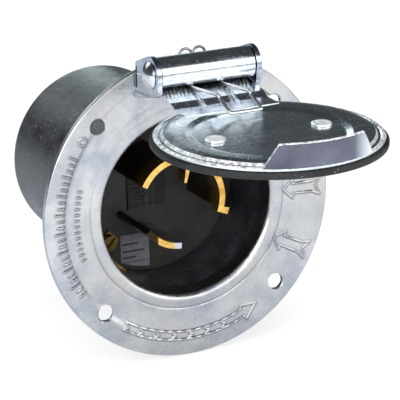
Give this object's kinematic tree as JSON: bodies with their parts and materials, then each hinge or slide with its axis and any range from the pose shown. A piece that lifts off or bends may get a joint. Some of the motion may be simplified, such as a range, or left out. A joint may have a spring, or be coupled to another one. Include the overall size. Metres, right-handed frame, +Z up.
{
  "type": "flanged generator power inlet",
  "caption": "Round flanged power inlet with curved locking blades in a deep metal can and a spring hinged, gasketed lid.",
  "frame": {"origin": "centre of the flange's rear face, where it seats on the panel", "axes": "+Z up towards the hinge, +Y back through the panel along the can, -Y out of the front"},
  "size_m": [0.1016, 0.1745, 0.1052],
  "materials": {
    "zinc_flange": "pale zinc plate, slightly clouded",
    "zinc_hinge": "bright zinc plate",
    "zinc_lid": "bright zinc plate with a fine speckle",
    "plated_steel": "bright plated",
    "spring_wire": "plated spring wire",
    "black_enamel": "semi-gloss black enamel with dusty specks",
    "black_phenolic": "moulded, satin",
    "brass": "bright stamped brass",
    "label_grey": "satin label",
    "black_rubber": "dusty moulded rubber"
  },
  "bodies": {
    "housing": {"flange_plate": "zinc_flange", "housing_can": "black_enamel", "blade_carrier": "black_phenolic", "terminal_housing": "black_phenolic", "line_blade_1": "brass", "line_blade_2": "brass", "line_blade_3": "brass", "ground_blade": "brass", "ground_strap": "brass", "ground_screw": "brass", "rating_label": "label_grey", "terminal_clamps": "brass", "terminal_screws": "plated_steel", "insulator_screws": "plated_steel", "can_screws": "plated_steel", "cable_grommet": "black_rubber", "hinge_bracket": "zinc_hinge", "bracket_rivets": "plated_steel", "hinge_pin": "plated_steel", "spring_tails": "spring_wire"},
    "lid": {"lid_cover": "zinc_lid", "lid_gasket": "black_rubber", "gasket_retainer": "plated_steel", "lid_rivets": "plated_steel", "torsion_spring": "spring_wire"}
  },
  "joints": [
    {"name": "lid_hinge", "type": "hinge", "parent": "housing", "child": "lid", "pos_m": [0, -0.0131, 0.0485], "axis": [1, 0, 0], "range_deg": [-15, 88]}
  ]
}
